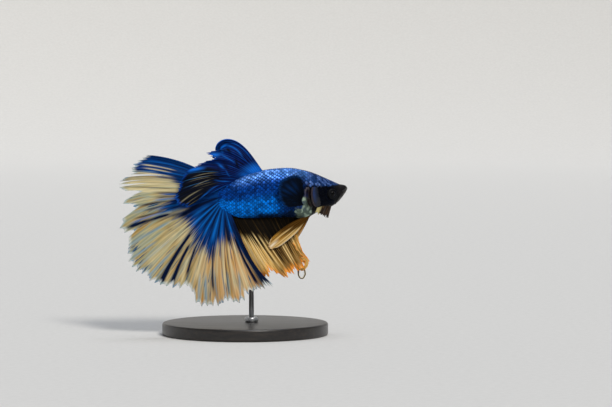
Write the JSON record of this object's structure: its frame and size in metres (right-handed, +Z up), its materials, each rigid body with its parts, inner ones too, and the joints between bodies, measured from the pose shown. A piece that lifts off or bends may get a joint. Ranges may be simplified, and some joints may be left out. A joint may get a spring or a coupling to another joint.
{
  "type": "betta fish",
  "caption": "Life-size male halfmoon betta fish in a swimming pose, gill covers flared and fins spread, held above a round display base by one slim rod.",
  "frame": {"origin": "centre of the flat underside of the stand's base, on the floor", "axes": "+Z up, +X towards the fish's snout, +Y towards the fish's left flank; the base is round about Z"},
  "size_m": [0.0734, 0.054, 0.0637],
  "materials": {
    "scaled_skin": "iridescent royal-blue scales, satin",
    "head_skin": "blue-black to grey-brown skin, moist satin",
    "jaw_skin": "grey-brown lip skin, moist satin",
    "eye": "black, wet gloss",
    "gill_skin": "blue-grey skin with a pinkish rim, moist satin",
    "throat_membrane": "thin pale yellow and brown membrane",
    "blue_fin": "metallic blue rays on dark membrane",
    "tail_fin": "blue rays that fade to cream, thin and translucent",
    "gold_fin": "brown base that fades to golden cream, thin and translucent",
    "veil_fin": "dark translucent veil with blue flecks",
    "stand_base": "turned hardwood, ebonised and waxed",
    "stand_metal": "fine brushed"
  },
  "bodies": {
    "root": {"head": "head_skin", "lower_jaw": "jaw_skin", "trunk": "scaled_skin", "tail_stalk": "scaled_skin", "eye_right": "eye", "eye_left": "eye", "gill_cover_right": "gill_skin", "gill_cover_left": "gill_skin", "gill_membrane": "throat_membrane", "dorsal_fin_front": "blue_fin", "dorsal_fin_rear": "blue_fin", "caudal_fin_upper": "tail_fin", "caudal_fin_middle": "tail_fin", "caudal_fin_lower": "tail_fin", "anal_fin_rear": "gold_fin", "anal_fin_front": "gold_fin", "pelvic_fin_right": "gold_fin", "pelvic_fin_left": "gold_fin", "pectoral_fin_right": "veil_fin", "pectoral_fin_left": "veil_fin", "stand_base": "stand_base", "stand_collar": "stand_metal", "stand_rod": "stand_metal"}
  },
  "joints": []
}
